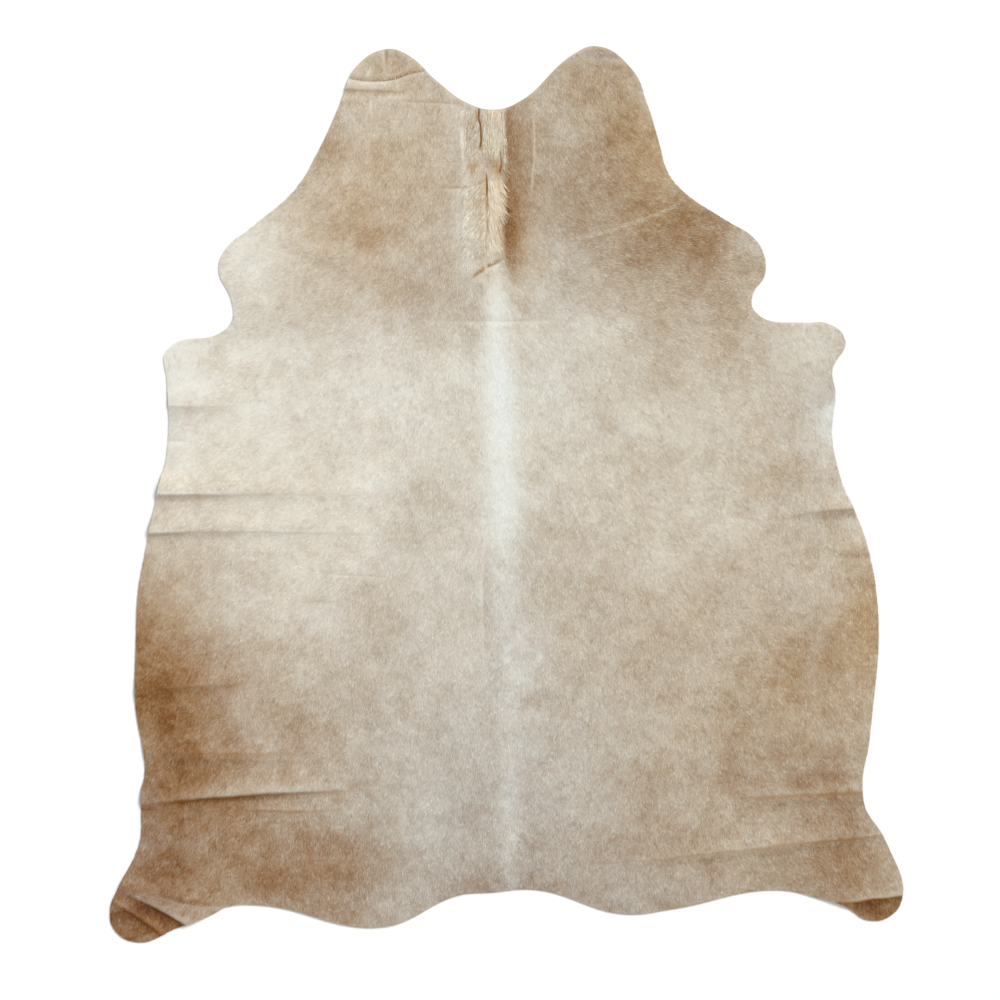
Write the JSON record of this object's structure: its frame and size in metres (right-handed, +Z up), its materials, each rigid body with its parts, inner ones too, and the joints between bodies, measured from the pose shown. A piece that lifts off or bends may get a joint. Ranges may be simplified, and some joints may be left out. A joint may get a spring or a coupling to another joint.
{
  "type": "cowhide rug",
  "caption": "Hair-on cowhide rug: a whole hide with neck lobes and leg corners, lying flat on a floor with low ripples and creases near its edges.",
  "frame": {"origin": "on the floor, below the middle of the hide's length and width", "axes": "+Y from the rump to the neck, +X to the animal's right side, +Z up from the floor, with the hair side up"},
  "size_m": [1.9442, 2.1974, 0.015],
  "materials": {
    "hair_on_leather": "short smooth cow hair in cream, beige, tan and brown, with pale suede on the flesh side"
  },
  "bodies": {
    "root": {"hide": "hair_on_leather"}
  },
  "joints": []
}
